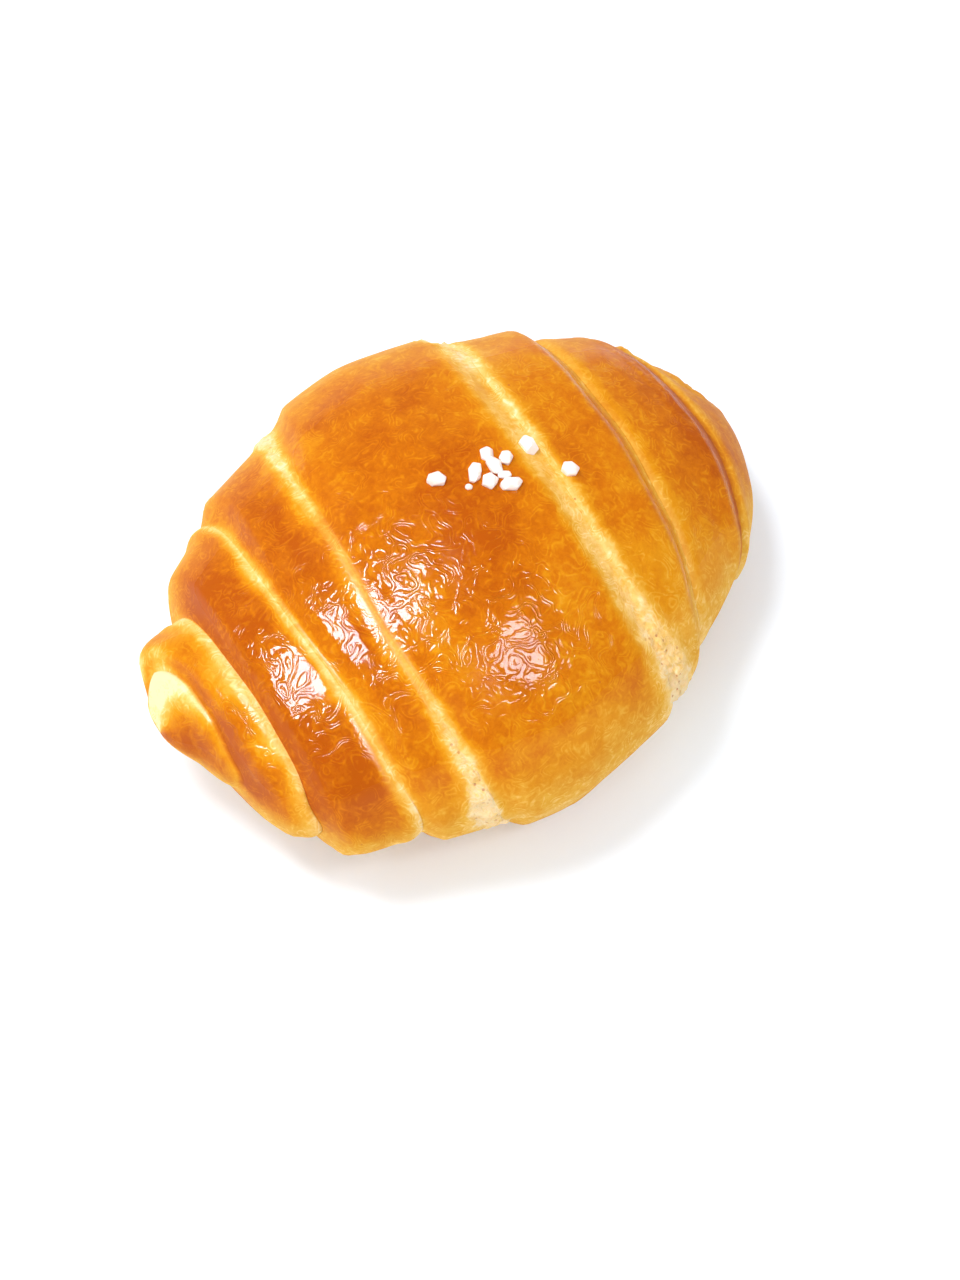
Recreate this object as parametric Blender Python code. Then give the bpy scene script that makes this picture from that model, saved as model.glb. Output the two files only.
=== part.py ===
"""A salt bread roll: a tapered strip of dough rolled up into eight overlapping bands, with salt on its crest.

+X runs along the roll from its open coil to its far tip, +Y is its back and +Z is up. The roll lies on a flat
base at Z = 0, under the middle of its box. All sizes are in metres.
"""

import math
import random
from collections import namedtuple

import bmesh
import bpy
import numpy as np
from mathutils import Matrix, Vector
from mathutils.bvhtree import BVHTree

COLLECTION_NAME = "salt_bread_roll"
ROLL_NAME = "roll"

# The envelope that the lips of the bands touch: an oval cross-section that tapers towards both ends.
COIL_END_REACH = 0.0598
FAR_END_REACH = 0.0620
HALF_WIDTH = 0.0530
HALF_HEIGHT = 0.0292
AXIS_HEIGHT = 0.0237
COIL_END_SAG = 0.0028
FAR_END_SAG = 0.0078
COIL_END_TAPER = (1.37, 1.62)
FAR_END_TAPER = (1.38, 1.62)
SIDE_SWAY = 0.0030
SIDE_BOW = 0.0017

# The underside is fuller than an oval, and its edge spreads where the soft dough lay on its tray.
BELLY_DROP = 0.0080
BELLY_START = 0.3
FOOT_HEIGHT = 0.0180
FOOT_SPREAD = 0.33

# How steeply one band falls towards the end of the roll, as a share of the envelope's own fall. The rest of
# the fall is the step from its lip down to the next band.
BAND_FALL = 0.6

# A seam is the crease between two bands. It crosses the crest at x, drifts by so much for each radian towards
# the front, and bows along the roll at the sides. The upper band turns down over lip, and the lower one comes
# up over root. Softness runs from 0, a round lip, to 1, a gentle slope.
Seam = namedtuple("Seam", "crest drift bow depth lip root softness")
SEAMS = (
    Seam(-0.0525, 0.0010, -0.0007, 0.0011, 0.0024, 0.0040, 0.4),
    Seam(-0.0452, 0.0011, -0.0005, 0.0008, 0.0030, 0.0045, 0.6),
    Seam(-0.0330, 0.0020, 0.0000, 0.0006, 0.0038, 0.0045, 1.0),
    Seam(-0.0210, -0.0005, 0.0020, 0.0003, 0.0055, 0.0040, 1.0),
    Seam(0.0188, 0.0003, 0.0012, 0.0004, 0.0045, 0.0040, 1.0),
    Seam(0.0356, -0.0011, -0.0010, 0.0005, 0.0032, 0.0045, 0.7),
    Seam(0.0523, 0.0004, -0.0024, 0.0006, 0.0026, 0.0040, 0.6),
)

# At the back, the second band hooks on over the core at the coil end: how far its lip reaches, and the angles
# where it leaves its line, is furthest out and is back again.
HOOK_SEAM = 0
HOOK_REACH = 0.0042
HOOK_START = 0.10
HOOK_FULL = 1.15
HOOK_END = 2.20

# The bands between the seams: how full each one is against the envelope, how far it is pushed to the back,
# and how much it is widened on each side.
Band = namedtuple("Band", "fullness push widening")
BANDS = (
    Band(1.00, 0.0028, -0.0008),
    Band(1.03, -0.0048, 0.0014),
    Band(1.01, -0.0041, 0.0012),
    Band(0.97, -0.0028, -0.0011),
    Band(0.94, -0.0020, -0.0030),
    Band(0.98, -0.0016, -0.0026),
    Band(1.01, 0.0001, -0.0021),
    Band(1.09, -0.0032, -0.0012),
)
MIDDLE_BAND = 4

# Below this share of the full cross-section, near the tips, grooves and offsets fade out.
CLOSING_LEVEL = 0.3

# Where the rings of the mesh lie: shares of a lip, of a root and of an end cap's quarter turn. A seam's own ring
# belongs to its lip.
POINTS_ROUND = 60
LIP_RINGS = (0.0, 0.16, 0.4, 0.7, 1.05)
ROOT_RINGS = (0.3, 0.65, 1.05)
CAP_RINGS = (0.08, 0.17, 0.3, 0.45, 0.6, 0.75, 0.87, 0.95)
NARROW_SHARE = 0.35
MIDDLE_RINGS = 5
SIDE_RINGS = 1
HELIX_END = 2.2
BOW_END = 1.9

# Salt: each grain's place along and across the roll, its length, its width and its turn in degrees.
Grain = namedtuple("Grain", "along across length width turn")
GRAINS = (
    Grain(-0.0018, 0.0058, 0.0040, 0.0030, -30),
    Grain(0.0046, 0.0038, 0.0050, 0.0027, 50),
    Grain(0.0084, 0.0062, 0.0034, 0.0026, 70),
    Grain(0.0083, 0.0035, 0.0044, 0.0028, -90),
    Grain(0.0110, 0.0041, 0.0033, 0.0026, 60),
    Grain(0.0060, 0.0010, 0.0034, 0.0031, 30),
    Grain(0.0090, 0.0011, 0.0027, 0.0017, -20),
    Grain(0.0090, -0.0011, 0.0043, 0.0028, -13),
    Grain(0.0160, 0.0054, 0.0048, 0.0032, -84),
    Grain(0.0203, -0.0020, 0.0035, 0.0030, -30),
    Grain(0.0023, 0.0018, 0.0016, 0.0013, -40),
)
GRAIN_HEIGHT_SHARE = 0.85
GRAIN_SUNK_SHARE = 0.30
GRAIN_UNEVENNESS = 0.10
GRAIN_SEED = 11

CRUST_COLOUR = (0.72, 0.26, 0.03, 1.0)
CRUST_ROUGHNESS = 0.35
BASE_TOLERANCE = 1e-6
SHORTEST_EDGE = 2e-5


def smoothstep(share):
    """A gentle rise from 0 to 1."""
    share = min(max(share, 0.0), 1.0)
    return share * share * (3.0 - 2.0 * share)


def envelope(x):
    """The share of the full cross-section that the envelope has at x: 1 in the middle and 0 at both ends."""
    reach = COIL_END_REACH if x < 0 else FAR_END_REACH
    shoulder, point = COIL_END_TAPER if x < 0 else FAR_END_TAPER
    share = min(abs(x) / reach, 1.0)
    return (1.0 - share**shoulder) ** (1.0 / point)


def seam_x(index, angle):
    """Where a seam, or an end of the roll, lies along it. The angle grows from the crest to the front."""
    if index < 0:
        return -COIL_END_REACH
    if index == len(SEAMS):
        return FAR_END_REACH
    seam = SEAMS[index]
    turn = abs(angle)
    fade = 1.0 if turn < HELIX_END else (math.pi - turn) / (math.pi - HELIX_END)
    drift = math.copysign(min(turn, HELIX_END) * fade, angle)
    place = seam.crest + seam.drift * drift + seam.bow * min(turn, BOW_END) ** 2
    if index == HOOK_SEAM and angle < 0:
        swing_out = smoothstep((turn - HOOK_START) / (HOOK_FULL - HOOK_START))
        swing_back = smoothstep((turn - HOOK_FULL) / (HOOK_END - HOOK_FULL))
        place -= HOOK_REACH * (swing_out - swing_back)
    return place


def band_level(index, x, angle):
    """A band's size at x against the full cross-section, before its edges turn down."""
    fullness = BANDS[index].fullness
    if index in (0, len(BANDS) - 1):
        return fullness * envelope(x)
    middle = (seam_x(index - 1, angle) + seam_x(index, angle)) / 2
    return fullness * (envelope(middle) + BAND_FALL * (envelope(x) - envelope(middle)))


def has_lip(index, seam_index):
    """Whether a band ends at this seam in a lip. It does on the side that faces the nearer end."""
    if index == MIDDLE_BAND:
        return True
    return (seam_index < index) == (index < MIDDLE_BAND)


def edge_share(index, seam_index, x, angle):
    """How far a band has run down into one of its seams: 1 in the crease and 0 clear of it."""
    seam = SEAMS[seam_index]
    lip = has_lip(index, seam_index)
    size = seam.lip if lip else seam.root
    if 0 < index < len(BANDS) - 1:
        size = min(size, NARROW_SHARE * (seam_x(index, angle) - seam_x(index - 1, angle)))
    away = min(abs(x - seam_x(seam_index, angle)) / size, 1.0)
    sharp = math.sqrt(1.0 - (1.0 - away) ** 2) if lip else 1.0 - (1.0 - away) ** 2.2
    return 1.0 - seam.softness * smoothstep(away) - (1.0 - seam.softness) * sharp


def crease_level(seam_index, angle):
    """The roll's size in a crease: that of the smaller of the two bands there."""
    edge = seam_x(seam_index, angle)
    return min(band_level(seam_index, edge, angle), band_level(seam_index + 1, edge, angle))


def between_bands(field, x):
    """A value of the bands at x, running evenly from the middle of one band to the middle of the next."""
    middles = [(seam_x(index - 1, 0.0) + seam_x(index, 0.0)) / 2 for index in range(len(BANDS))]
    return float(np.interp(x, middles, [getattr(band, field) for band in BANDS]))


def crust_point(index, x, angle):
    """A point of the crust, on the band of that index."""
    own_level = level = band_level(index, x, angle)
    closing = min(1.0, envelope(x) / CLOSING_LEVEL)
    groove = 0.0
    for seam_index in (index - 1, index):
        if 0 <= seam_index < len(SEAMS):
            share = edge_share(index, seam_index, x, angle)
            level += share * (crease_level(seam_index, angle) - own_level)
            groove += share * SEAMS[seam_index].depth * closing
    normal = Vector((math.sin(angle) / HALF_WIDTH, math.cos(angle) / HALF_HEIGHT)).normalized()
    reach, sag = (COIL_END_REACH, COIL_END_SAG) if x < 0 else (FAR_END_REACH, FAR_END_SAG)
    height = AXIS_HEIGHT - sag * abs(x / reach) ** 2.5
    height += level * HALF_HEIGHT * math.cos(angle) - groove * normal.y
    height -= BELLY_DROP * level * max(0.0, -math.cos(angle) - BELLY_START) ** 2
    foot = min(max(1.0 - height / FOOT_HEIGHT, 0.0), 1.0)
    half = level * HALF_WIDTH + closing * between_bands("widening", x)
    across = (groove * normal.x - half * math.sin(angle)) * (1.0 + FOOT_SPREAD * foot**2)
    along = x / COIL_END_REACH
    middle = SIDE_SWAY * along + SIDE_BOW * along**2 + closing * between_bands("push", x)
    return Vector((x, across + middle, height))


def ring_places(index, angle):
    """Where the rings of one band lie along the roll, crowded where its edges turn down."""
    low, high = seam_x(index - 1, angle), seam_x(index, angle)
    if index == 0:
        return [high + (low - high) * math.sin(share * math.pi / 2) for share in reversed(CAP_RINGS)]
    if index == len(BANDS) - 1:
        return [low + (high - low) * math.sin(share * math.pi / 2) for share in CAP_RINGS]

    def from_edge(seam_index):
        lip = has_lip(index, seam_index)
        size = min(SEAMS[seam_index].lip if lip else SEAMS[seam_index].root, NARROW_SHARE * (high - low))
        return [share * size for share in (LIP_RINGS if lip else ROOT_RINGS)]

    rising = [low + away for away in from_edge(index - 1)]
    falling = [high - away for away in reversed(from_edge(index))]
    count = MIDDLE_RINGS if index == MIDDLE_BAND else SIDE_RINGS
    gap = (falling[0] - rising[-1]) / (count + 1)
    return rising + [rising[-1] + gap * (step + 1) for step in range(count)] + falling


def crust_rings():
    """The rings of the crust from the coil end to the far end, each a list of points round the roll."""
    angles = [2 * math.pi * step / POINTS_ROUND - math.pi for step in range(POINTS_ROUND)]
    rings = []
    for index in range(len(BANDS)):
        columns = [[crust_point(index, x, angle) for x in ring_places(index, angle)] for angle in angles]
        rings.extend(zip(*columns))
    return rings


def loft(mesh, rings, first_tip, last_tip):
    """Skins the rings in order, and closes both ends with a fan to a tip."""
    rows = [[mesh.verts.new(point) for point in ring] for ring in rings]
    for row, after in zip(rows, rows[1:]):
        for step in range(POINTS_ROUND):
            following = (step + 1) % POINTS_ROUND
            mesh.faces.new((row[step], row[following], after[following], after[step]))
    for row, tip in ((rows[0], first_tip), (rows[-1], last_tip)):
        centre = mesh.verts.new(tip)
        for step in range(POINTS_ROUND):
            mesh.faces.new((row[step], row[(step + 1) % POINTS_ROUND], centre))
    bmesh.ops.recalc_face_normals(mesh, faces=mesh.faces)


def cut_flat_base(mesh):
    """Cuts the roll off level where it lies on its tray, and closes the cut with one flat face."""
    everything = mesh.verts[:] + mesh.edges[:] + mesh.faces[:]
    cut = bmesh.ops.bisect_plane(
        mesh, geom=everything, dist=BASE_TOLERANCE, plane_co=(0, 0, 0), plane_no=(0, 0, -1), clear_outer=True
    )
    rim = [item for item in cut["geom_cut"] if isinstance(item, bmesh.types.BMEdge)]
    bmesh.ops.contextual_create(mesh, geom=rim)
    bmesh.ops.recalc_face_normals(mesh, faces=mesh.faces)


def centre_of_box(mesh):
    """The point on the base under the middle of the roll's box."""
    low, high = ([pick(vertex.co[axis] for vertex in mesh.verts) for axis in range(2)] for pick in (min, max))
    return Vector(((low[0] + high[0]) / 2, (low[1] + high[1]) / 2, 0.0))


def crust_material():
    """Glazed golden-brown crust."""
    material = bpy.data.materials.new("crust")
    material.use_nodes = True
    shader = material.node_tree.nodes["Principled BSDF"]
    shader.inputs["Base Color"].default_value = CRUST_COLOUR
    shader.inputs["Roughness"].default_value = CRUST_ROUGHNESS
    shader.inputs["Metallic"].default_value = 0.0
    return material


def add_object(name, mesh, collection):
    """Turns a bmesh into an object of the collection, smooth but for its sharp edges."""
    data = bpy.data.meshes.new(name)
    mesh.to_mesh(data)
    mesh.free()
    data.shade_smooth()
    data.set_sharp_from_angle(angle=math.radians(45))
    found = bpy.data.objects.new(name, data)
    collection.objects.link(found)
    return found


def add_grain(number, grain, surface, draw, collection):
    """One crystal of salt: an icosahedron with uneven corners, laid on the crust and sunk into it."""
    foot, normal, *_ = surface.ray_cast(Vector((grain.along, grain.across, 1.0)), Vector((0, 0, -1)))
    size = Vector((grain.length, grain.width, grain.width * GRAIN_HEIGHT_SHARE)) / 2
    mesh = bmesh.new()
    bmesh.ops.create_icosphere(mesh, subdivisions=1, radius=1.0)
    for vertex in mesh.verts:
        uneven = 1.0 + draw.uniform(-GRAIN_UNEVENNESS, GRAIN_UNEVENNESS)
        vertex.co = Vector(part * whole * uneven for part, whole in zip(vertex.co, size))
    lie = Vector((0, 0, 1)).rotation_difference(normal).to_matrix().to_4x4()
    lift = size.z * (1.0 - 2.0 * GRAIN_SUNK_SHARE)
    turn = Matrix.Rotation(math.radians(grain.turn), 4, "Z")
    mesh.transform(Matrix.Translation(foot + normal * lift) @ lie @ turn)
    return add_object(f"grain_{number}", mesh, collection)


def fuse(roll, grains):
    """Joins the grains to the roll as one solid, then removes their collection."""
    union = roll.modifiers.new("salt", "BOOLEAN")
    union.operation = "UNION"
    union.operand_type = "COLLECTION"
    union.collection = grains
    union.solver = "EXACT"
    joined = bpy.data.meshes.new_from_object(roll.evaluated_get(bpy.context.evaluated_depsgraph_get()))
    clean = bmesh.new()
    clean.from_mesh(joined)
    bmesh.ops.dissolve_degenerate(clean, dist=SHORTEST_EDGE, edges=clean.edges)
    clean.to_mesh(joined)
    clean.free()
    roll.modifiers.clear()
    roll.data = joined
    for grain in list(grains.objects):
        bpy.data.objects.remove(grain)
    bpy.data.collections.remove(grains)


def main():
    for leftover in list(bpy.data.objects):
        bpy.data.objects.remove(leftover)
    collection = bpy.data.collections.new(COLLECTION_NAME)
    bpy.context.scene.collection.children.link(collection)
    grains = bpy.data.collections.new("salt_grains")
    bpy.context.scene.collection.children.link(grains)

    mesh = bmesh.new()
    first_tip = crust_point(0, -COIL_END_REACH, 0.0)
    last_tip = crust_point(len(BANDS) - 1, FAR_END_REACH, 0.0)
    loft(mesh, crust_rings(), first_tip, last_tip)
    cut_flat_base(mesh)
    bmesh.ops.translate(mesh, verts=mesh.verts, vec=-centre_of_box(mesh))
    surface = BVHTree.FromBMesh(mesh)
    roll = add_object(ROLL_NAME, mesh, collection)

    draw = random.Random(GRAIN_SEED)
    for number, grain in enumerate(GRAINS):
        add_grain(number, grain, surface, draw, grains)
    fuse(roll, grains)
    roll.data.materials.clear()
    roll.data.materials.append(crust_material())


main()
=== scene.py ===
import math
import random

import bmesh
import bpy
import numpy as np
from mathutils import Matrix, Vector, noise
from mathutils.bvhtree import BVHTree


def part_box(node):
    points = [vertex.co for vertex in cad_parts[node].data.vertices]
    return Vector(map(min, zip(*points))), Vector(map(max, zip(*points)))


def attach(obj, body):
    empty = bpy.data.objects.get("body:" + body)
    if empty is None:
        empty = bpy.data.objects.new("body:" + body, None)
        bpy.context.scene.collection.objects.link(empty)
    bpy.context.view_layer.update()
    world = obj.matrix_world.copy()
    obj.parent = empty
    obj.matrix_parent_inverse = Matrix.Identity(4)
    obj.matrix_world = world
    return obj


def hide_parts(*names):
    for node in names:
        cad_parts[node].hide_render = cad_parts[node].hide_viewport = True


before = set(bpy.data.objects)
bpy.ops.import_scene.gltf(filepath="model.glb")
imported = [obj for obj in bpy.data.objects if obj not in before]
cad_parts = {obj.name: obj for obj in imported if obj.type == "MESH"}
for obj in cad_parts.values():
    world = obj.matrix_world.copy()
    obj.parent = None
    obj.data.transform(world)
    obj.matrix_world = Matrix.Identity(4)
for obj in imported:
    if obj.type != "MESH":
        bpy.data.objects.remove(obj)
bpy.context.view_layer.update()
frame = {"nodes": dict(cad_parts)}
rollLow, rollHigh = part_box("roll")
mm = 0.001
print("frame loaded:", ", ".join(frame["nodes"]))


def smooth(low, high, value):
    share = np.clip((value - low) / (high - low), 0.0, 1.0)
    return share * share * (3.0 - 2.0 * share)


def hump(middle, width, value):
    return np.exp(-((value - middle) / width) ** 2)


def softNoise(points, size, seed):
    # Perlin noise over points in mm, one bump about every size mm
    scaled = points.reshape(-1, 3) / size + seed * 17.3
    values = np.array([noise.noise(Vector(point)) for point in scaled.tolist()])
    return values.reshape(points.shape[:-1])


def waver(turns, waves, seed):
    # a smooth closed curve of height about 1, for seams that wander
    draw = random.Random(seed)
    total = np.zeros_like(turns)
    for wave in range(2, 2 + waves):
        total += np.sin(wave * turns + draw.uniform(0, 6.28)) * draw.uniform(0.4, 1.0) / math.sqrt(wave)
    return total


# the form of the roll in mm: a lens of eight bands of rolled dough
rollForm = {
    "reach": (59.8, 62.0),        # coil end, far end
    "taper": ((1.37, 1.62), (1.38, 1.62)),    # shoulder and point of each end
    "sag": (2.8, 7.8),            # how far the ends droop
    "sagCurve": 2.5,
    "halfWidth": 53.0,
    "halfHeight": 29.2,
    "axisHeight": 23.7,
    "sway": 3.0,                  # the far end lies this much further back
    "bow": 1.7,                   # both ends lie this much further back than the middle
    "bandFall": 0.6,              # how much of the taper each band follows on its own
    "closing": 0.3,               # grooves and pushes fade where the taper is below this
    "belly": (8.0, 0.3),          # extra drop of the underside, and where it starts
    "foot": (18.0, 0.33),         # height and spread of the lower edge
    "overhang": 0.3,              # how far a lip bulges over the next band
    "narrow": 0.35,               # the most of a band's width that one of its edges takes
    "rootCurve": 2.2,             # how fast a sheltered root rises out of its seam
    "driftEnd": 2.2,              # angles where a seam's drift and its bow end
    "bowEnd": 1.9,
    "seamWaves": 9,
    "topSteps": 236,              # ring points down to the lower edges, and across the base
    "underSteps": 40,
    "topSpan": math.radians(118),
    "ringGap": 0.6,               # between the rings of a band
    "endRings": 26,               # rings of the two end bands, and how they crowd at the tips
    "endCrowding": 0.85,
}

# at the back the second band hooks on over the coil: how far in mm, and the angles where it leaves its line,
# is fully over and is back
coilHook = {"seam": 0, "reach": 4.2, "start": 0.10, "full": 1.15, "end": 2.20}

# each seam from the coil to the far end: place on the crest, drift and bow round the roll, groove depth, lip
# and root lengths, how softly the lip turns down (0 a round edge, 1 a gentle slope), how much it wanders
seamNames = ("at", "drift", "bow", "depth", "lip", "root", "soft", "waver")
seamForm = [dict(zip(seamNames, values)) for values in (
    (-52.5, 1.0, -0.7, 1.1, 2.4, 4.0, 0.45, 0.15),
    (-45.2, 1.1, -0.5, 0.8, 3.0, 4.5, 0.6, 0.25),
    (-33.0, 2.0, 0.0, 0.6, 3.8, 4.5, 1.0, 0.35),
    (-21.0, -0.5, 2.0, 0.3, 5.5, 4.0, 1.0, 0.4),
    (18.8, 0.3, 1.2, 0.4, 4.5, 4.0, 1.0, 0.45),
    (35.6, -1.1, -1.0, 0.5, 3.2, 4.5, 0.7, 0.35),
    (52.3, 0.4, -2.4, 0.6, 2.6, 4.0, 0.6, 0.3),
)]
# each band from the coil: fullness, push to the back in mm, widening on each side in mm
bandForm = [
    (1.00, 2.8, -0.8),
    (1.03, -4.8, 1.4),
    (1.01, -4.1, 1.2),
    (0.97, -2.8, -1.1),
    (0.94, -2.0, -3.0),
    (0.98, -1.6, -2.6),
    (1.01, 0.1, -2.1),
    (1.09, -3.2, -1.2),
]
middleBand = 4
lastBand = len(bandForm) - 1
bandEdges = [-rollForm["reach"][0]] + [form["at"] for form in seamForm] + [rollForm["reach"][1]]
bandMiddles = [(low + high) / 2 for low, high in zip(bandEdges[:-1], bandEdges[1:])]
lipSteps = [0.0, 0.02, 0.06, 0.12, 0.2, 0.3, 0.42, 0.56, 0.72, 0.88, 1.04, 1.22]
rootSteps = [0.03, 0.08, 0.15, 0.24, 0.35, 0.48, 0.62, 0.78, 0.95]


def ringAngles():
    span = rollForm["topSpan"]
    top = np.linspace(-span, span, rollForm["topSteps"], endpoint=False)
    under = np.linspace(span, 2 * math.pi - span, rollForm["underSteps"], endpoint=False)
    turns = np.concatenate([top, under])
    return np.where(turns > math.pi, turns - 2 * math.pi, turns)


angles = ringAngles()    # 0 on the crest, growing towards the front


def envelope(x):
    side = (x >= 0).astype(int)
    reach = np.array(rollForm["reach"])[side]
    shoulder = np.array([pair[0] for pair in rollForm["taper"]])[side]
    point = np.array([pair[1] for pair in rollForm["taper"]])[side]
    share = np.clip(np.abs(x) / reach, 0.0, 1.0)
    return (1.0 - share ** shoulder) ** (1.0 / point)


def seamLine(index):
    # where a seam, or an end of the roll, lies along it at every angle
    if index < 0:
        return np.full_like(angles, -rollForm["reach"][0])
    if index == len(seamForm):
        return np.full_like(angles, rollForm["reach"][1])
    form = seamForm[index]
    turn = np.abs(angles)
    driftEnd = rollForm["driftEnd"]
    fade = np.where(turn > driftEnd, (math.pi - turn) / (math.pi - driftEnd), 1.0)
    line = form["at"] + form["drift"] * np.sign(angles) * np.minimum(turn, driftEnd) * fade
    line = line + form["bow"] * np.minimum(turn, rollForm["bowEnd"]) ** 2
    line = line + form["waver"] * waver(angles, rollForm["seamWaves"], index + 3)
    if index == coilHook["seam"]:
        swing = smooth(coilHook["start"], coilHook["full"], -angles)
        line = line - coilHook["reach"] * (swing - smooth(coilHook["full"], coilHook["end"], -angles))
    return line


seamLines = [seamLine(index) for index in range(-1, len(seamForm) + 1)]


def bandLevel(band, x):
    fullness = bandForm[band][0]
    if band in (0, lastBand):
        return fullness * envelope(x)
    middle = envelope((seamLines[band] + seamLines[band + 1]) / 2)
    return fullness * (middle + rollForm["bandFall"] * (envelope(x) - middle))


def creaseLevel(seam):
    edge = seamLines[seam + 1]
    return np.minimum(bandLevel(seam, edge), bandLevel(seam + 1, edge))


def isLip(band, seam):
    # the middle band lies over both its neighbours, and every other band over the one further out
    return band == middleBand or (seam < band) == (band < middleBand)


def bandRings(band):
    # rings of one band: place along the roll, and how far clear of its low and its high seam each ring is
    # (0 at the seam, 1 clear, None at an end of the roll); a seam's own ring belongs to its lip
    low, high = seamLines[band], seamLines[band + 1]
    width = high - low
    if band in (0, lastBand):
        start, end = (high, low) if band == 0 else (low, high)
        root = seamForm[band if band == 0 else band - 1]["root"]
        count = rollForm["endRings"]
        rings = []
        for step in range(1, count + 1):
            share = (step / (count + 1)) ** rollForm["endCrowding"]
            x = start + (end - start) * math.sin(share * math.pi / 2)
            away = np.abs(x - start) / root
            rings.append((x, None, away) if band == 0 else (x, away, None))
        return rings[::-1] if band == 0 else rings

    def edgeRings(seam, line, inward):
        form = seamForm[seam]
        lip = isLip(band, seam)
        length = np.minimum(form["lip"] if lip else form["root"], width * rollForm["narrow"])
        made = []
        for step in (lipSteps if lip else rootSteps):
            away = length * step
            if lip and step < 1:
                away = away - rollForm["overhang"] * 4 * step * (1 - step) * (1 - form["soft"])
            made.append((line + inward * away, step))
        return made

    rising = edgeRings(band - 1, low, 1)
    falling = edgeRings(band, high, -1)
    inner, outer = rising[-1][0], falling[-1][0]
    count = max(2, int(np.median(outer - inner) / rollForm["ringGap"]))
    rings = [(x, step, 1.0) for x, step in rising]
    for step in range(1, count + 1):
        rings.append((inner + (outer - inner) * step / (count + 1), 1.0, 1.0))
    return rings + [(x, 1.0, step) for x, step in reversed(falling)]


def edgeShare(band, seam, away):
    # how far a band has run down into a seam: 1 in the crease, 0 clear of it
    soft = seamForm[seam]["soft"]
    away = np.clip(away, 0.0, 1.0)
    rounded = away * away * (3 - 2 * away)
    sharp = np.sqrt(1 - (1 - away) ** 2) if isLip(band, seam) else 1 - (1 - away) ** rollForm["rootCurve"]
    return 1 - soft * rounded - (1 - soft) * sharp


def buildSurface():
    halfWidth, halfHeight = rollForm["halfWidth"], rollForm["halfHeight"]
    normal = np.stack([np.sin(angles) / halfWidth, np.cos(angles) / halfHeight])
    normal = normal / np.linalg.norm(normal, axis=0)
    bellyDrop, bellyStart = rollForm["belly"]
    footHeight, footSpread = rollForm["foot"]
    pushes, widenings = [form[1] for form in bandForm], [form[2] for form in bandForm]
    rows, bands = [], []
    for band in range(len(bandForm)):
        for x, lowAway, highAway in bandRings(band):
            ownLevel = level = bandLevel(band, x)
            closing = np.minimum(1.0, envelope(x) / rollForm["closing"])
            groove = np.zeros_like(x)
            for seam, away in ((band - 1, lowAway), (band, highAway)):
                if away is not None:
                    share = edgeShare(band, seam, away)
                    level = level + share * (creaseLevel(seam) - ownLevel)
                    groove = groove + share * seamForm[seam]["depth"] * closing
            side = (x >= 0).astype(int)
            reach = np.array(rollForm["reach"])[side]
            sag = np.array(rollForm["sag"])[side]
            height = rollForm["axisHeight"] - sag * np.abs(x / reach) ** rollForm["sagCurve"]
            height = height + level * halfHeight * np.cos(angles) - groove * normal[1]
            height = height - bellyDrop * level * np.maximum(0, -np.cos(angles) - bellyStart) ** 2
            foot = np.clip(1 - height / footHeight, 0, 1)
            half = level * halfWidth + closing * np.interp(x, bandMiddles, widenings)
            across = (groove * normal[0] - half * np.sin(angles)) * (1 + footSpread * foot ** 2)
            along = x / rollForm["reach"][0]
            across = across + rollForm["sway"] * along + rollForm["bow"] * along ** 2
            across = across + closing * np.interp(x, bandMiddles, pushes)
            rows.append(np.stack([x, across, height], axis=-1))
            bands.append(band)
    return np.array(rows), np.array(bands)


surface, ringBands = buildSurface()
bandOf = np.repeat(ringBands[:, None], len(angles), axis=1)
turnOf = np.broadcast_to(angles, bandOf.shape)
print("surface of", surface.shape[0], "rings by", surface.shape[1], "points")

# pale strips where the dough tore open in the oven. Round the roll, at the angles in turns: centre off the
# seam and width in mm, how crumbly the strip is, its depth in mm and its tone (0 cream, 1 deep brown)
tornStrips = {
    "left": {
        "seam": 3,
        "turns": (-1.9, -1.3, -1.0, -0.6, -0.2, 0.3, 0.6, 0.85, 1.1, 1.3, 1.5, 1.9),
        "centre": (-1.5, -1.5, -0.8, 0.0, 0.2, 0.2, 0.0, -0.4, -1.0, -1.7, -2.0, -2.0),
        "width": (3.0, 3.0, 1.8, 0.9, 0.3, 0.3, 0.6, 1.2, 2.4, 3.8, 5.2, 6.0),
        "crumb": (0.7, 0.7, 0.5, 0.3, 0.0, 0.0, 0.2, 0.6, 0.9, 1.0, 1.0, 0.8),
        "depth": (0.0, 0.0, 0.1, 0.15, 0.0, 0.0, 0.1, 0.2, 0.3, 0.4, 0.4, 0.4),
        "tone": (0.10, 0.10, 0.14, 0.20, 0.30, 0.30, 0.26, 0.20, 0.12, 0.06, 0.04, 0.04),
    },
    "right": {
        "seam": 4,
        "turns": (-1.9, -1.3, -0.8, -0.5, -0.1, 0.2, 0.5, 0.8, 1.0, 1.2, 1.45, 1.9),
        "centre": (-1.6, -1.6, -1.6, -1.3, -1.2, -1.2, -0.9, -0.2, 0.4, 0.4, 0.3, 0.3),
        "width": (3.6, 3.4, 3.2, 3.0, 2.8, 2.4, 2.8, 3.4, 4.2, 5.2, 6.6, 6.0),
        "crumb": (0.6, 0.6, 0.45, 0.08, 0.16, 0.20, 0.25, 0.50, 0.8, 1.0, 1.0, 0.8),
        "depth": (-0.5, -0.5, -0.3, 0.0, 0.0, 0.05, 0.05, 0.1, 0.15, 0.2, 0.2, 0.2),
        "tone": (0.10, 0.10, 0.14, 0.40, 0.32, 0.29, 0.27, 0.22, 0.14, 0.08, 0.05, 0.05),
    },
}
fineNoise = softNoise(surface, 1.3, 1)
grainNoise = softNoise(surface, 2.6, 2)
lumpNoise = softNoise(surface, 5.0, 3)


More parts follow.
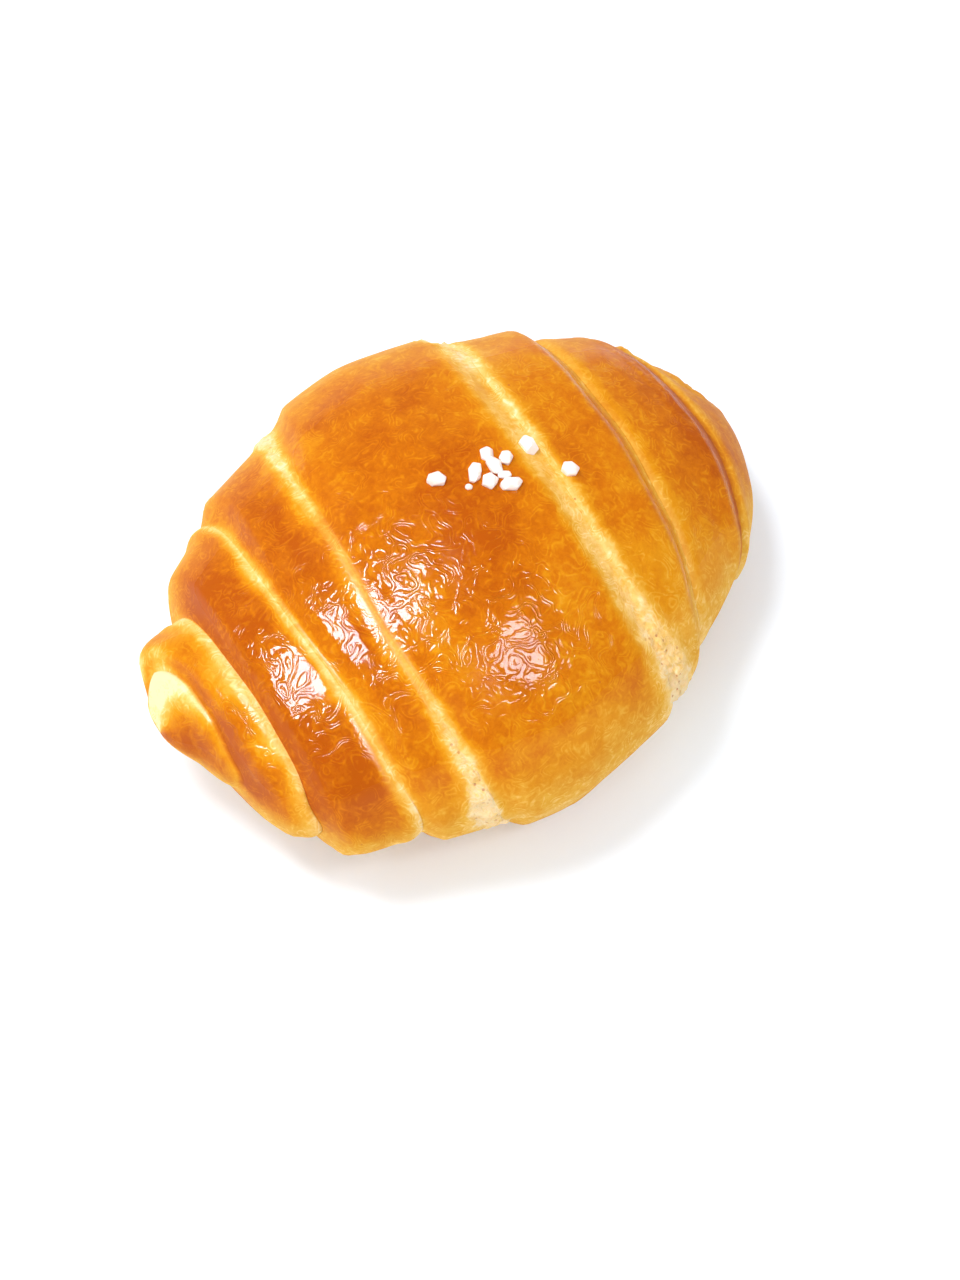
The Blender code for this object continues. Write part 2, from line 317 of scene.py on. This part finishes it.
def acrossSeam(index):
    # distance in mm from a seam, positive towards the far end
    return surface[..., 0] - seamLines[index + 1]


stripFade = (1.9, 2.3)    # both strips run out between these angles, low on the sides


def tornShare(strip, margin):
    # 1 inside a strip, running out to 0 over margin mm of the crust beside it
    middle = np.interp(angles, strip["turns"], strip["centre"])
    width = np.interp(angles, strip["turns"], strip["width"])
    inside = width / 2 - np.abs(acrossSeam(strip["seam"]) - middle)
    ragged = inside + 0.9 * grainNoise + 0.6 * fineNoise
    fade = np.interp(np.abs(angles), stripFade, (1, 0))
    return smooth(-margin, 0.35, ragged) * smooth(0.3, 0.9, width) * fade


torn = {name: tornShare(strip, 0.35) for name, strip in tornStrips.items()}
besideTorn = {name: tornShare(strip, 3.2) for name, strip in tornStrips.items()}

# where the dough of two bands has grown together, or torn crumb has swelled up, the step between them is
# filled: seam, height in mm, length on its coil side and on its far side, angle and spread round the roll
fillets = [
    (3, 1.2, 5.5, 6.0, 0.1, 0.85),
    (4, 0.4, 4.5, 5.0, 0.1, 0.90),
    (3, 1.8, 6.0, 4.5, 1.4, 0.35),
    (4, 2.2, 5.0, 6.0, 1.4, 0.35),
    (2, 1.2, 5.0, 4.5, 1.4, 0.35),
    (2, 1.2, 5.0, 4.5, -1.4, 0.35),
    (3, 1.0, 5.0, 4.5, -1.4, 0.35),
]

# fine ridges beside the last seam: place off the seam and height in mm
seamRidges = ((-1.1, 0.26), (-2.3, 0.24), (-3.6, 0.18))
ridgeWidth = 0.38
puckerHeight = 1.3    # of the folds in the far end


def reliefOf():
    # height in mm of everything finer than the bands themselves
    relief = 0.32 * softNoise(surface, 24.0, 4) + 0.13 * softNoise(surface, 11.0, 5)
    relief += 0.05 * lumpNoise + 0.015 * grainNoise
    for name, strip in tornStrips.items():
        depth = np.interp(angles, strip["turns"], strip["depth"])
        rough = np.interp(angles, strip["turns"], strip["crumb"])
        crumbs = 0.70 * grainNoise + 0.55 * fineNoise + 0.6 * np.minimum(lumpNoise, 0)
        relief += torn[name] * (crumbs * rough - depth)
    for seam, height, coilLength, farLength, place, spread in fillets:
        away = acrossSeam(seam)
        share = np.where(away < 0, smooth(-coilLength, 0, away), smooth(farLength, 0, away))
        relief += height * share * hump(place, spread, turnOf)
    lastSeam = len(seamForm) - 1
    wander = acrossSeam(lastSeam) + 0.5 * lumpNoise
    stretch = smooth(0.8, 0.1, turnOf) * (bandOf == lastSeam)
    for place, height in seamRidges:
        relief += height * hump(place, ridgeWidth, wander) * stretch
    puckers = np.maximum(0, softNoise(surface * np.array([0.45, 1.0, 1.0]), 3.6, 6))
    relief += puckerHeight * puckers * smooth(0.1, -0.7, turnOf) * (bandOf == lastBand)
    return relief


def outward(grid):
    along = np.gradient(grid, axis=0)
    around = np.roll(grid, -1, 1) - np.roll(grid, 1, 1)
    direction = np.cross(along, around)
    centre = grid.mean(axis=1, keepdims=True)
    side = np.sign((direction * (grid - centre)).sum(axis=-1).mean())
    return side * direction / np.maximum(np.linalg.norm(direction, axis=-1, keepdims=True), 1e-9)


def dressedSurface():
    # the relief fades out over the lowest 3 mm and over the last 2 mm at both tips
    lift = reliefOf() * smooth(0.0, 3.0, surface[..., 2])
    tipFade = smooth(0, 2.0, surface[..., 0] + rollForm["reach"][0])
    tipFade = tipFade * smooth(0, 2.0, rollForm["reach"][1] - surface[..., 0])
    grid = surface + outward(surface) * (lift * tipFade)[..., None]
    grid[..., 2] = np.maximum(grid[..., 2], 0.0)
    return grid


crustGrid = dressedSurface()
print("relief laid on the bands")

# how dark each band is baked round its crest, from the back to the front: 0 cream, 1 deep brown
toneTurns = (-1.9, -1.3, -0.9, -0.5, -0.2, 0.1, 0.4, 0.7, 1.0, 1.25, 1.5, 1.8)
bandTones = [
    (0.40, 0.16, 0.05, 0.02, 0.04, 0.30, 0.74, 0.92, 0.92, 0.88, 0.78, 0.45),
    (0.40, 0.50, 0.70, 0.74, 0.72, 0.74, 0.84, 0.93, 0.98, 0.90, 0.52, 0.38),
    (0.25, 0.38, 0.86, 0.98, 0.96, 0.92, 0.96, 1.00, 1.00, 0.82, 0.47, 0.35),
    (0.36, 0.48, 0.86, 0.88, 0.88, 0.87, 0.84, 0.83, 0.78, 0.62, 0.42, 0.32),
    (0.32, 0.40, 0.74, 0.84, 0.87, 0.88, 0.90, 0.88, 0.76, 0.60, 0.41, 0.32),
    (0.40, 0.47, 0.61, 0.66, 0.72, 0.72, 0.72, 0.64, 0.51, 0.39, 0.32, 0.28),
    (0.55, 0.62, 0.72, 0.78, 0.84, 0.86, 0.82, 0.76, 0.66, 0.46, 0.32, 0.30),
    (0.42, 0.45, 0.52, 0.62, 0.68, 0.72, 0.78, 0.74, 0.64, 0.47, 0.37, 0.37),
]
underTone = 0.52
underTurns = (2.0, 2.5)    # the underside's tone takes over between these angles
besideFade = 0.45    # how much paler the crust is right beside a torn strip

# paleness along each seam and its width in mm, on the sheltered side that the next band shaded and on the
# lip, and how brown the thin line on the lip's edge is: partly the edge's own darker bake, partly painted
# shade in the crease
paleNames = ("root", "rootWidth", "lip", "lipWidth", "line")
seamPale = [dict(zip(paleNames, values)) for values in (
    (0.45, 2.0, 0.0, 1.0, 0.15),
    (0.70, 3.2, 0.05, 1.0, 0.10),
    (0.80, 1.9, 0.60, 1.0, 0.0),
    (0.50, 2.0, 0.42, 1.2, 0.0),
    (0.60, 2.4, 0.58, 3.6, 0.0),
    (0.40, 3.2, 0.45, 0.8, 0.0),
    (0.35, 2.4, 0.0, 1.0, 0.40),
)]
lineForm = (0.7, 0.55)    # mm in from the lip's edge, and half width

# lighter and darker patches of the bake: place along, angle, size along, size round, change of tone
bakePatches = [
    (-14.0, 0.45, 4.0, 0.30, -0.22), (-15.0, -0.55, 3.0, 0.30, -0.10), (2.0, 0.10, 9.0, 0.35, 0.08),
    (9.0, 0.55, 5.0, 0.30, -0.20), (-2.0, 0.95, 9.0, 0.22, -0.08), (7.0, 1.20, 7.0, 0.25, -0.08),
    (-6.0, -0.75, 9.0, 0.22, 0.06), (4.0, -1.00, 8.0, 0.15, -0.12), (12.0, -0.10, 3.0, 0.40, -0.12),
    (-30.0, 0.70, 2.5, 0.35, -0.16), (-26.0, 0.20, 2.5, 0.60, 0.10), (-28.0, -0.60, 3.0, 0.30, 0.08),
    (-41.0, 0.80, 3.0, 0.30, 0.12), (-41.5, -0.50, 3.0, 0.30, 0.10), (-39.0, 0.25, 3.0, 0.25, -0.10),
    (25.0, 0.20, 3.0, 0.50, 0.06), (29.0, -0.60, 4.0, 0.30, 0.06), (27.0, 0.70, 4.0, 0.25, -0.08),
    (49.0, 0.00, 2.5, 0.50, 0.14), (42.0, 0.15, 2.5, 0.70, -0.04), (46.0, -0.60, 4.0, 0.30, 0.06),
    (45.0, 0.75, 4.0, 0.30, 0.05), (-50.0, 0.95, 2.0, 0.25, 0.10), (56.0, -0.30, 1.5, 0.60, 0.10),
    (-57.0, -1.25, 1.6, 0.35, -0.45), (-55.0, -0.50, 2.0, 0.45, -0.50),
]


def bakeOf():
    turn = np.clip(turnOf, toneTurns[0], toneTurns[-1])
    tone = np.zeros_like(turn)
    for band, tones in enumerate(bandTones):
        tone = np.where(bandOf == band, np.interp(turn, toneTurns, tones), tone)
    tone = tone + (underTone - tone) * smooth(*underTurns, np.abs(turnOf))
    for along, place, size, spread, change in bakePatches:
        tone = tone + change * hump(along, size, surface[..., 0]) * hump(place, spread, turnOf)
    wander = 1 + 0.45 * softNoise(surface, 7.0, 7)
    for seam, pale in enumerate(seamPale):
        away = acrossSeam(seam)
        lipSide = (away >= 0) if seam < middleBand else (away < 0)
        lips = (bandOf == (seam + 1 if seam < middleBand else seam)) & lipSide
        roots = (bandOf == (seam if seam < middleBand else seam + 1)) & ~lipSide
        tone = tone * (1 - pale["root"] * hump(0, pale["rootWidth"] * wander, away) * roots)
        tone = tone * (1 - pale["lip"] * hump(0, pale["lipWidth"] * wander, away) * lips)
        # the brown line on the lip's edge is partly its own darker bake and partly painted shade in the crease
        tone = tone + pale["line"] * hump(lineForm[0], lineForm[1], np.abs(away)) * lips
    for name, strip in tornStrips.items():
        tone = tone * (1 - besideFade * besideTorn[name])
        tone = tone * (1 - torn[name]) + np.interp(angles, strip["turns"], strip["tone"]) * torn[name]
    tone = tone + 0.07 * softNoise(surface, 9.0, 8) + 0.05 * lumpNoise
    return np.clip(tone, 0, 1)


glazeForm = {
    "thin": 0.25,                # brushed over the top, where 1 is thick and 0 bare
    # places where it lies thick and has crinkled most: place along in mm, angle
    "pools": [(-50.0, 0.30), (-41.0, 0.22), (-28.5, 0.22), (-15.5, 0.20), (-1.0, 0.62)],
    "poolSize": (6.0, 0.30),
    "seamGap": 1.5,              # mm, as the seams opened after the dough was brushed
    "front": (1.15, 0.85),       # angles from bare to glazed
    "back": (-1.1, -0.5),
    "farEnd": (56.0, 48.0),      # mm from bare to glazed
}


def glazeOf():
    thin = glazeForm["thin"]
    size, spread = glazeForm["poolSize"]
    glaze = np.full_like(turnOf, thin)
    for along, place in glazeForm["pools"]:
        pool = hump(along, size, surface[..., 0]) * hump(place, spread, turnOf)
        glaze = np.maximum(glaze, thin + (1 - thin) * pool)
    for seam in range(len(seamForm)):
        glaze = glaze * (1 - 0.9 * hump(0.0, glazeForm["seamGap"], acrossSeam(seam)))
    glaze = glaze * smooth(*glazeForm["front"], turnOf) * smooth(*glazeForm["back"], turnOf)
    return glaze * smooth(*glazeForm["farEnd"], surface[..., 0])


def crumbOf():
    crumb = np.zeros_like(turnOf)
    for name, strip in tornStrips.items():
        crumb = np.maximum(crumb, torn[name] * np.interp(angles, strip["turns"], strip["crumb"]))
    return crumb


bake = bakeOf()
crumb = crumbOf()
glaze = glazeOf()


def gridFaces(rings, columns):
    index = np.arange(rings * columns).reshape(rings, columns)
    a, b = index[:-1], index[1:]
    return np.stack([a, np.roll(a, -1, 1), np.roll(b, -1, 1), b], -1).reshape(-1, 4)


def makeCrust():
    rings, columns = crustGrid.shape[:2]
    points = crustGrid.reshape(-1, 3)
    tips = np.stack([crustGrid[0].mean(0), crustGrid[-1].mean(0)])
    tips[0, 0], tips[1, 0] = -rollForm["reach"][0], rollForm["reach"][1]
    points = np.concatenate([points, tips])
    # the relief reaches no further than the part: its length and width are drawn in to the part's box
    low, high = points.min(0), points.max(0)
    for axis in (0, 1):
        size = (rollHigh[axis] - rollLow[axis]) / mm
        middle = (rollHigh[axis] + rollLow[axis]) / 2 / mm
        fit = min(1.0, size / (high[axis] - low[axis]))
        points[:, axis] = (points[:, axis] - (low[axis] + high[axis]) / 2) * fit + middle
    faces = gridFaces(rings, columns).tolist()
    first, last = rings * columns, rings * columns + 1
    for column in range(columns):
        after = (column + 1) % columns
        faces.append([after, column, first])
        faces.append([(rings - 1) * columns + column, (rings - 1) * columns + after, last])
    mesh = bpy.data.meshes.new("crust")
    mesh.from_pydata((points * mm).tolist(), [], faces)
    for name, values in (("bake", bake), ("crumb", crumb), ("glaze", glaze)):
        layer = mesh.attributes.new(name, "FLOAT", "POINT")
        flat = values.reshape(-1)
        layer.data.foreach_set("value", np.append(flat, (flat[0], flat[-1])).astype(np.float32))
    work = bmesh.new()
    work.from_mesh(mesh)
    bmesh.ops.recalc_face_normals(work, faces=work.faces)
    work.to_mesh(mesh)
    work.free()
    mesh.shade_smooth()
    piece = bpy.data.objects.new("crust", mesh)
    bpy.context.scene.collection.objects.link(piece)
    return piece


crust = makeCrust()
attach(crust, "root")
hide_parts("roll")
print("crust made:", len(crust.data.polygons), "faces")


def newMaterial(name):
    material = bpy.data.materials.new(name)
    material.use_nodes = True
    return material, material.node_tree, material.node_tree.nodes["Principled BSDF"]


def addNode(tree, kind, inputs=None, **settings):
    node = tree.nodes.new(kind)
    for name, value in settings.items():
        setattr(node, name, value)
    for name, value in (inputs or {}).items():
        if isinstance(value, bpy.types.NodeSocket):
            tree.links.new(value, node.inputs[name])
        else:
            node.inputs[name].default_value = value
    return node


def noiseOf(tree, place, size, detail=2.0, roughness=0.5, distortion=0.0):
    # noise whose lumps are about size mm
    inputs = {"Vector": place, "Scale": 1000.0 / size, "Detail": detail, "Roughness": roughness}
    return addNode(tree, "ShaderNodeTexNoise", {**inputs, "Distortion": distortion}).outputs["Fac"]


def mathOf(tree, kind, first, second=0.0):
    return addNode(tree, "ShaderNodeMath", {0: first, 1: second}, operation=kind).outputs[0]


def sumOf(tree, first, second):
    return mathOf(tree, "ADD", first, second)


def productOf(tree, first, second):
    return mathOf(tree, "MULTIPLY", first, second)


def rangeOf(tree, value, low, high, start, end):
    inputs = {"Value": value, "From Min": low, "From Max": high, "To Min": start, "To Max": end}
    return addNode(tree, "ShaderNodeMapRange", inputs, interpolation_type="SMOOTHSTEP").outputs["Result"]


def mixColour(tree, share, first, second):
    node = addNode(tree, "ShaderNodeMix", data_type="RGBA")
    for slot, value in ((0, share), (6, first), (7, second)):    # the colour sockets of the node
        if isinstance(value, bpy.types.NodeSocket):
            tree.links.new(value, node.inputs[slot])
        else:
            node.inputs[slot].default_value = value
    return node.outputs[2]


def rampOf(tree, value, stops):
    ramp = addNode(tree, "ShaderNodeValToRGB", {"Fac": value})
    elements = ramp.color_ramp.elements
    while len(elements) < len(stops):
        elements.new(0.5)
    for element, (place, colour) in zip(elements, stops):
        element.position = place
        element.color = toLinear(colour)
    return ramp.outputs["Color"]


def toLinear(colour):
    # a shader colour from screen values of 0 to 255
    shares = [part / 255 for part in colour]
    parts = [((share + 0.055) / 1.055) ** 2.4 if share > 0.04 else share / 12.92 for share in shares]
    return (*parts, 1.0)


crustLook = {
    # screen colours from the palest to the darkest bake
    "ramp": [
        (0.00, (240, 213, 162)),
        (0.16, (236, 193, 108)),
        (0.34, (222, 163, 52)),
        (0.54, (212, 138, 12)),
        (0.76, (197, 109, 1)),
        (1.00, (172, 79, 0)),
    ],
    "crumbPale": (248, 208, 154),
    # brown of the dark specks, also used as painted shade in the crumb's holes
    "speckAndPoreShade": (186, 92, 36),
    # uneven colour: size in mm and most change of tone
    "blotch": (9.0, 0.05),
    "mottle": (3.2, 0.06),
    "fine": (1.2, 0.05),
    "fibre": 0.15,               # how much lighter the strokes in the glaze are
    "specksPerMetre": 300.0,
    "poresPerMetre": 800.0,
    "gloss": (0.035, 0.065),     # least and most roughness of the thick glaze
    # roughness added where the glaze is thin, where it is bare, and where the crust is pale
    "thinRough": 0.08,
    "bareRough": 0.42,
    "paleRough": 0.30,
    "crumbRough": 0.85,
    "crinkle": 4.4,              # mm across a swirl of the fine winding ridges in the glaze
    "crinkleTurns": 4.2,         # ridges to a swirl
    "crinkleHeight": 0.085,      # mm
    "crumbHeight": 1.6,          # times crinkleHeight
    "poreDepth": 2.2,
    "specular": 0.11,
    "subsurface": 0.08,
}


def unevenOf(tree, place, look, detail, roughness, distortion=0.0):
    size, change = look
    lumps = noiseOf(tree, place, size, detail, roughness, distortion)
    return rangeOf(tree, lumps, 0.3, 0.7, -change, change)


def makeCrustMaterial():
    material, tree, shader = newMaterial("bakedCrust")
    place = addNode(tree, "ShaderNodeTexCoord").outputs["Object"]
    baked = addNode(tree, "ShaderNodeAttribute", attribute_name="bake").outputs["Fac"]
    torn = addNode(tree, "ShaderNodeAttribute", attribute_name="crumb").outputs["Fac"]
    thick = addNode(tree, "ShaderNodeAttribute", attribute_name="glaze").outputs["Fac"]

    blotch = unevenOf(tree, place, crustLook["blotch"], 3.0, 0.6)
    mottle = unevenOf(tree, place, crustLook["mottle"], 3.0, 0.65)
    fine = unevenOf(tree, place, crustLook["fine"], 2.0, 0.6, 1.5)
    # winding ridges are the contour lines of a swirling noise
    swirl = noiseOf(tree, place, crustLook["crinkle"], 1.0, 0.35, 1.0)
    wave = mathOf(tree, "SINE", productOf(tree, swirl, crustLook["crinkleTurns"] * 2 * math.pi))
    ridge = rangeOf(tree, mathOf(tree, "ABSOLUTE", wave), 0.0, 0.95, 1.0, 0.0)
    patches = rangeOf(tree, noiseOf(tree, place, 2.2, 1.0), 0.40, 0.56, 0.0, 1.0)
    fibre = productOf(tree, ridge, patches)
    patchy = rangeOf(tree, patches, 0.0, 1.0, 0.55, 1.0)
    crinkle = productOf(tree, productOf(tree, ridge, thick), patchy)
    tone = sumOf(tree, sumOf(tree, baked, blotch), sumOf(tree, mottle, fine))
    tone = sumOf(tree, tone, productOf(tree, fibre, -crustLook["fibre"]))
    colour = rampOf(tree, tone, crustLook["ramp"])

    # dark specks in a third of the cells of a fine mesh
    cells = {"Vector": place, "Scale": crustLook["specksPerMetre"], "Randomness": 1.0}
    speck = addNode(tree, "ShaderNodeTexVoronoi", cells)
    chosen = rangeOf(tree, speck.outputs["Color"], 0.62, 0.66, 0.0, 0.7)
    dot = rangeOf(tree, speck.outputs["Distance"], 0.05, 0.09, 1.0, 0.0)
    speckAndPoreShade = toLinear(crustLook["speckAndPoreShade"])
    colour = mixColour(tree, productOf(tree, chosen, dot), colour, speckAndPoreShade)

    # torn crumb: pale threads with small holes, the holes darkened with painted shade
    cells = {"Vector": place, "Scale": crustLook["poresPerMetre"], "Randomness": 1.0}
    holes = addNode(tree, "ShaderNodeTexVoronoi", cells)
    hole = rangeOf(tree, holes.outputs["Distance"], 0.12, 0.30, 0.70, 0.0)
    hole = productOf(tree, hole, rangeOf(tree, holes.outputs["Color"], 0.5, 0.6, 0.0, 1.0))
    weave = rangeOf(tree, noiseOf(tree, place, 1.1, 3.0, 0.7, 0.8), 0.35, 0.65, 0.0, 1.0)
    inside = mixColour(tree, productOf(tree, weave, 0.6), colour, toLinear(crustLook["crumbPale"]))
    # painted shade in the holes of the crumb
    inside = mixColour(tree, hole, inside, speckAndPoreShade)
    tree.links.new(mixColour(tree, torn, colour, inside), shader.inputs["Base Color"])

    gloss = rangeOf(tree, noiseOf(tree, place, 5.0, 2.0), 0.3, 0.7, *crustLook["gloss"])
    thin = glazeForm["thin"]
    gloss = sumOf(tree, gloss, rangeOf(tree, thick, 0.0, thin, crustLook["bareRough"], 0.0))
    gloss = sumOf(tree, gloss, rangeOf(tree, thick, thin, 0.50, crustLook["thinRough"], 0.0))
    gloss = sumOf(tree, gloss, rangeOf(tree, baked, 0.25, 0.55, crustLook["paleRough"], 0.0))
    rough = addNode(tree, "ShaderNodeMix", {"Factor": torn, "A": gloss, "B": crustLook["crumbRough"]})
    tree.links.new(rough.outputs["Result"], shader.inputs["Roughness"])

    threads = productOf(tree, weave, productOf(tree, torn, crustLook["crumbHeight"]))
    dents = productOf(tree, hole, productOf(tree, torn, -crustLook["poreDepth"]))
    height = sumOf(tree, sumOf(tree, crinkle, threads), dents)
    bump = addNode(tree, "ShaderNodeBump", {"Height": height, "Distance": crustLook["crinkleHeight"] * mm})
    tree.links.new(bump.outputs["Normal"], shader.inputs["Normal"])
    shader.inputs["IOR"].default_value = 1.5
    shader.inputs["Specular IOR Level"].default_value = crustLook["specular"]
    shader.inputs["Subsurface Weight"].default_value = crustLook["subsurface"]
    shader.inputs["Subsurface Radius"].default_value = (1.0, 0.45, 0.12)
    shader.inputs["Subsurface Scale"].default_value = 2 * mm
    return material


crust.data.materials.append(makeCrustMaterial())
print("crust coloured")

# coarse salt, in mm: place along and across, length, width, turn in degrees
saltForm = {
    "grains": [
        (-1.8, 5.8, 4.0, 3.0, -30), (4.6, 3.8, 5.0, 2.7, 50), (8.4, 6.2, 3.4, 2.6, 70),
        (8.3, 3.5, 4.4, 2.8, -90), (11.0, 4.1, 3.3, 2.6, 60), (6.0, 1.0, 3.4, 3.1, 30),
        (9.0, 1.1, 2.7, 1.7, -20), (9.0, -1.1, 4.3, 2.8, -13), (16.0, 5.4, 4.8, 3.2, -84),
        (20.3, -2.0, 3.5, 3.0, -30), (2.3, 1.8, 1.6, 1.3, -40),
    ],
    "heightShare": 0.85,         # height over width
    "sunkShare": 0.28,           # how much of the height is in the crust
    "rings": ((-0.42, 0.93), (0.30, 0.97), (0.93, 0.52)),    # height and reach of each ring of corners
    "foot": (-0.95, 0.6),        # height and reach of the blunt lower end
    "bevel": 0.07,
    # white salt tinted pink: the pink is painted warm light bounced off the crust, mixed in at random
    "colours": ((0.93, 0.76, 0.70, 1), (0.97, 0.90, 0.86, 1)),
}


def addGrain(work, foot, up, size, turn, draw):
    # a plump crystal with flat faces: the hull of three uneven rings of corners and a blunt lower end
    grain = bmesh.new()
    corners = draw.choice((5, 6, 6))
    start = draw.uniform(0, 6.28)

    def addCorner(angle, reach, tall):
        grain.verts.new((math.cos(angle) * reach * size.x, math.sin(angle) * reach * size.y, tall * size.z))

    for level, share in saltForm["rings"]:
        for corner in range(corners):
            angle = start + (corner + draw.uniform(-0.22, 0.22)) * 2 * math.pi / corners + level * 0.3
            reach = share * draw.uniform(0.9, 1.05)
            addCorner(angle, reach, level + draw.uniform(-0.08, 0.08))
    for corner in range(corners):
        addCorner(start + corner * 2 * math.pi / corners, saltForm["foot"][1], saltForm["foot"][0])
    bmesh.ops.convex_hull(grain, input=grain.verts)
    loose = [vertex for vertex in grain.verts if not vertex.link_faces]
    bmesh.ops.delete(grain, geom=loose, context="VERTS")
    bmesh.ops.dissolve_limit(grain, angle_limit=math.radians(9), verts=grain.verts, edges=grain.edges)
    bmesh.ops.bevel(grain, geom=grain.edges[:], offset=saltForm["bevel"] * mm, segments=2, affect="EDGES")
    lie = Vector((0, 0, 1)).rotation_difference(up).to_matrix().to_4x4()
    lift = size.z * (1 - 2 * saltForm["sunkShare"])
    grain.transform(Matrix.Translation(foot + up * lift) @ lie @ Matrix.Rotation(math.radians(turn), 4, "Z"))
    part = bpy.data.meshes.new("grain")
    grain.to_mesh(part)
    grain.free()
    work.from_mesh(part)
    bpy.data.meshes.remove(part)


def makeSalt():
    work = bmesh.new()
    bed = BVHTree.FromPolygons([vertex.co for vertex in crust.data.vertices],
                               [polygon.vertices[:] for polygon in crust.data.polygons])
    draw = random.Random(11)    # the cut of the crystals
    for along, across, length, width, turn in saltForm["grains"]:
        foot, up, face, away = bed.ray_cast(Vector((along * mm, across * mm, 0.1)), Vector((0, 0, -1)))
        if up.z < 0:
            up = -up
        size = Vector((length, width, width * saltForm["heightShare"])) * mm / 2
        addGrain(work, foot, up, size, turn, draw)
    # the tallest crystal is no higher than the part
    excess = max(vertex.co.z for vertex in work.verts) - rollHigh[2]
    bmesh.ops.translate(work, verts=work.verts, vec=(0, 0, -max(0.0, excess)))
    mesh = bpy.data.meshes.new("saltGrains")
    bmesh.ops.triangulate(work, faces=work.faces)
    work.to_mesh(mesh)
    work.free()
    piece = bpy.data.objects.new("saltGrains", mesh)
    bpy.context.scene.collection.objects.link(piece)
    return piece


def makeSaltMaterial():
    material, tree, shader = newMaterial("coarseSalt")
    place = addNode(tree, "ShaderNodeTexCoord").outputs["Object"]
    cloud = rangeOf(tree, noiseOf(tree, place, 2.0, 2.0), 0.3, 0.7, 0.0, 1.0)
    # the pinker colour is painted light bounced off the crust
    colour = mixColour(tree, cloud, *saltForm["colours"])
    tree.links.new(colour, shader.inputs["Base Color"])
    shader.inputs["Roughness"].default_value = 0.32
    shader.inputs["IOR"].default_value = 1.54
    shader.inputs["Subsurface Weight"].default_value = 0.5
    shader.inputs["Subsurface Radius"].default_value = (1.0, 0.7, 0.6)
    shader.inputs["Subsurface Scale"].default_value = mm
    return material


salt = makeSalt()
salt.data.materials.append(makeSaltMaterial())
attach(salt, "root")
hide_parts("roll")
print("salt laid:", len(saltForm["grains"]), "grains,", len(salt.data.polygons), "faces")

# a lit white table
floorForm = {
    "half": 3.0,                 # m
    "cloud": 60.0,               # mm across the faint clouds in its colour
    "colours": ((0.76, 0.83, 0.92, 1), (0.78, 0.85, 0.94, 1)),
    "glow": 0.14,
}


def makeFloor():
    half = floorForm["half"]
    corners = [(-half, -half, 0), (half, -half, 0), (half, half, 0), (-half, half, 0)]
    mesh = bpy.data.meshes.new("floor")
    mesh.from_pydata(corners, [], [(0, 1, 2, 3)])
    floor = bpy.data.objects.new("floor", mesh)
    bpy.context.scene.collection.objects.link(floor)
    material, tree, shader = newMaterial("paleFloor")
    place = addNode(tree, "ShaderNodeTexCoord").outputs["Object"]
    cloud = noiseOf(tree, place, floorForm["cloud"], 2.0)
    tree.links.new(mixColour(tree, cloud, *floorForm["colours"]), shader.inputs["Base Color"])
    shader.inputs["Roughness"].default_value = 0.95
    shader.inputs["Specular IOR Level"].default_value = 0.0
    shader.inputs["Emission Color"].default_value = (1, 1, 1, 1)
    shader.inputs["Emission Strength"].default_value = floorForm["glow"]
    floor.data.materials.append(material)


makeFloor()

# panels round the roll, in metres and watts: those named gloss only mirror in the glaze, the others only light
softboxes = {
    "glossOver": {"towards": (-0.34, 0.18, 0.92), "distance": 1.2, "size": (0.78, 0.36), "power": 76.0},
    "glossFront": {"towards": (0.20, -0.41, 0.89), "distance": 1.2, "size": (0.38, 0.48), "power": 29.0},
    "keyOver": {"towards": (-0.22, 0.18, 0.96), "distance": 1.2, "size": (0.30, 0.30), "power": 5.8},
    "keyFront": {"towards": (0.20, -0.40, 0.89), "distance": 1.2, "size": (0.20, 0.20), "power": 2.2},
    "fill": {"towards": (-0.42, 0.58, 0.70), "distance": 1.6, "size": (1.2, 1.2), "power": 7.8},
    "side": {"towards": (-0.80, -0.36, 0.50), "distance": 1.4, "size": (0.8, 0.8), "power": 4.4},
}
glossColour = (0.68, 0.84, 0.94)
roomLight = 0.70


def addSoftbox(name, box):
    light = bpy.data.lights.new(name, "AREA")
    light.shape = "ELLIPSE"
    light.size, light.size_y = box["size"]
    light.energy = box["power"]
    lamp = bpy.data.objects.new(name, light)
    back = Vector(box["towards"]).normalized()
    up = back.cross(Vector((1, 0, 0))).normalized()
    lamp.matrix_world = Matrix((up.cross(back), up, back)).transposed().to_4x4()
    lamp.location = back * box["distance"]
    if name.startswith("gloss"):
        light.color = glossColour
    lamp.visible_glossy = name.startswith("gloss")
    lamp.visible_diffuse = not lamp.visible_glossy
    bpy.context.scene.collection.objects.link(lamp)


for name, box in softboxes.items():
    addSoftbox(name, box)

world = bpy.data.worlds.new("softRoom")
world.use_nodes = True
world.node_tree.nodes["Background"].inputs["Color"].default_value = (1, 1, 1, 1)
world.node_tree.nodes["Background"].inputs["Strength"].default_value = roomLight
bpy.context.scene.world = world
bpy.context.scene.view_settings.view_transform = "Standard"

view = {
    "azimuth": -30.1,            # degrees, 0 looks at the front
    "elevation": 62.0,           # degrees above the floor
    "distance": 0.6,             # m
    "aim": (-0.0011, -0.0002, 0.025),
    "lens": 94.4,
    "shiftX": 0.0175,
    "shiftY": -0.0503,
}


def addCamera():
    camera = bpy.data.cameras.new("camera")
    camera.lens = view["lens"]
    camera.sensor_width = 36
    camera.shift_x = view["shiftX"]
    camera.shift_y = view["shiftY"]
    camera.clip_start = 0.01
    holder = bpy.data.objects.new("camera", camera)
    turn, tilt = math.radians(view["azimuth"]), math.radians(view["elevation"])
    direction = Vector((math.sin(turn) * math.cos(tilt), -math.cos(turn) * math.cos(tilt), math.sin(tilt)))
    holder.location = Vector(view["aim"]) + direction * view["distance"]
    holder.rotation_euler = direction.to_track_quat("Z", "Y").to_euler()
    bpy.context.scene.collection.objects.link(holder)
    bpy.context.scene.camera = holder


addCamera()
print("floor, lights and camera placed")
